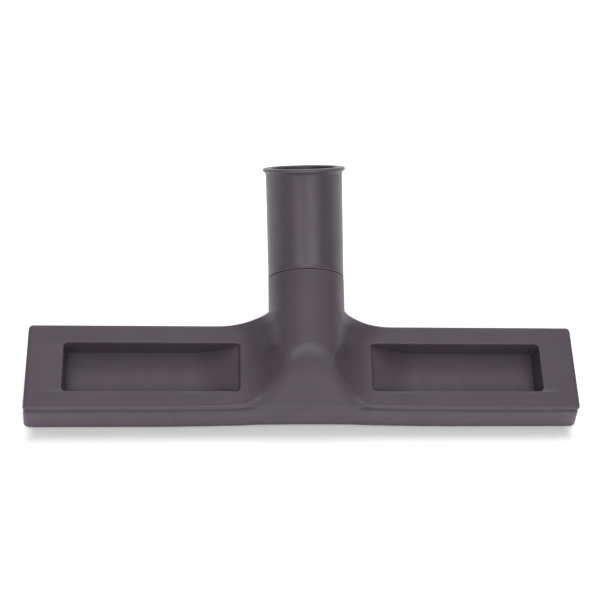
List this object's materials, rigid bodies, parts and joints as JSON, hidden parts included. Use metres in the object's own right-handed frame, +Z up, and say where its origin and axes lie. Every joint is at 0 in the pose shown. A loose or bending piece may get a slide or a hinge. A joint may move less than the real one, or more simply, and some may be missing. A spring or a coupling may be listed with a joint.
{
  "type": "wet floor vacuum tool",
  "caption": "Wide floor head for a wet and dry vacuum cleaner: a moulded head with sunk trays, rubber blades below and a bent wand sleeve that swivels on its round neck.",
  "frame": {"origin": "middle of the rear blade's foot, on the floor", "axes": "+X along the head to the right as seen from the front, +Y from the front lip to the back, where the wand leaves, +Z up from the floor"},
  "size_m": [0.3038, 0.1232, 0.1085],
  "materials": {
    "moulded_grey": "fine satin moulded plastic",
    "sleeve_grey": "satin moulded plastic, a little smoother",
    "front_rubber": "matt black rubber",
    "rear_rubber": "matt black rubber"
  },
  "bodies": {
    "head": {"floor_head": "moulded_grey", "front_blade": "front_rubber", "rear_blade": "rear_rubber"},
    "sleeve": {"wand_sleeve": "sleeve_grey"}
  },
  "joints": [
    {"name": "neck_swivel", "type": "hinge", "parent": "head", "child": "sleeve", "pos_m": [0, 0.02131, 0.04949], "axis": [0, 0.9157, 0.4019], "continuous": true}
  ]
}
